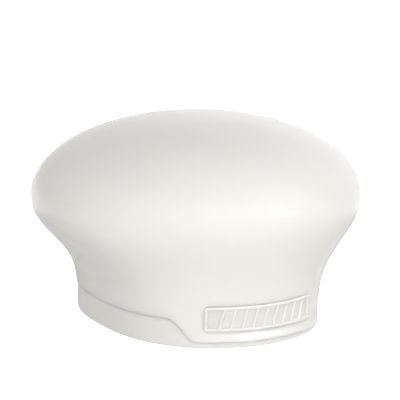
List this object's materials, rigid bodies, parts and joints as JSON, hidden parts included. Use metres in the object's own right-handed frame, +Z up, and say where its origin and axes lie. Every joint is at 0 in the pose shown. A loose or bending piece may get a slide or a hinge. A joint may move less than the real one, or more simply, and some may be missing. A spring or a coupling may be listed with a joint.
{
  "type": "flash diffuser dome",
  "caption": "Soft translucent silicone dome on an oval magnetic foot, which slips onto a camera flash and spreads its light.",
  "frame": {"origin": "middle of the oval foot, on the plane that it stands on", "axes": "+Z up through the top of the dome, X along the foot's long axis with the relief on the +X end, Y across it"},
  "size_m": [0.1106, 0.1106, 0.0684],
  "materials": {
    "silicone_thin": "satin",
    "silicone_thick": "satin",
    "carrier_plastic": "matte",
    "nickel": "polished",
    "keeper_steel": "satin"
  },
  "bodies": {
    "root": {"diffuser_dome": "silicone_thin", "badge_relief": "silicone_thin", "base_frame": "silicone_thick", "carrier_front": "carrier_plastic", "carrier_back": "carrier_plastic", "magnet_front_left": "nickel", "magnet_front_right": "nickel", "magnet_back_left": "nickel", "magnet_back_right": "nickel", "keeper_front": "keeper_steel", "keeper_back": "keeper_steel", "pocket_cover_front": "silicone_thick", "pocket_cover_back": "silicone_thick"}
  },
  "joints": []
}
